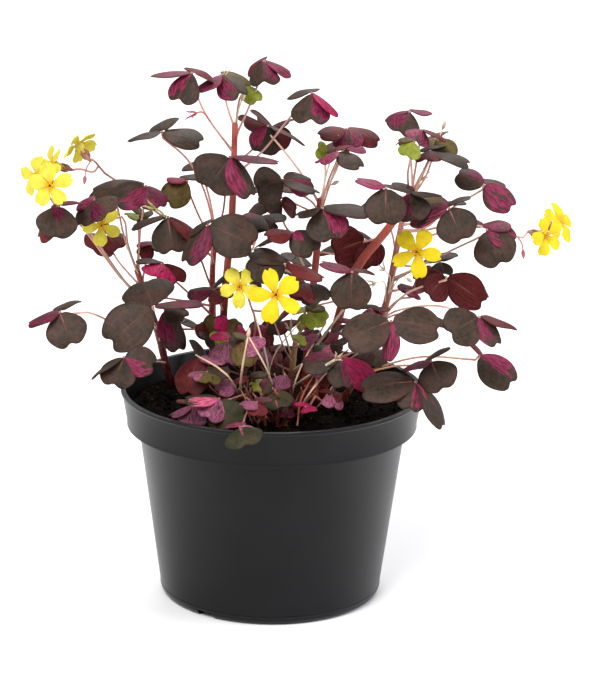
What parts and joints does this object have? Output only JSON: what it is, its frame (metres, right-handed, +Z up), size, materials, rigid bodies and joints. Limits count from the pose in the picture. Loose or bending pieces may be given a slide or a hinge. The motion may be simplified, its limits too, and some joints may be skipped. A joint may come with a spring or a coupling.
{
  "type": "potted oxalis vulcanicola",
  "caption": "Dark-leaved wood sorrel with pink-edged notched leaflets and yellow flowers in a round black plastic nursery pot.",
  "frame": {"origin": "centre of the pot's flat underside, on the surface that it stands on", "axes": "+Z up along the pot's axis; the side seen in the picture faces -Y"},
  "size_m": [0.2165, 0.145, 0.2148],
  "materials": {
    "pot": "satin",
    "soil": "matte",
    "leaf": "satin",
    "petal": "matte"
  },
  "bodies": {
    "root": {"pot": "pot", "soil": "soil", "leafy_stem_tall": "leaf", "leafy_stem_slim": "leaf", "leafy_stem_left": "leaf", "leafy_stem_middle": "leaf", "leafy_stem_slanting": "leaf", "leafy_stem_right": "leaf", "tuft_right": "leaf", "young_shoot": "leaf", "tuft_left": "leaf", "tuft_front": "leaf", "tuft_centre": "leaf", "leafy_stem_back_left": "leaf", "leafy_stem_back_middle": "leaf", "leafy_stem_back_right": "leaf", "bloom_left_high": "petal", "bloom_left_middle": "petal", "bloom_left_outer": "petal", "bloom_left_front": "petal", "bloom_left_low": "petal", "bloom_centre_left": "petal", "bloom_centre_right": "petal", "bloom_right_middle": "petal", "bloom_right_inner": "petal", "bloom_right_outer": "petal"}
  },
  "joints": []
}
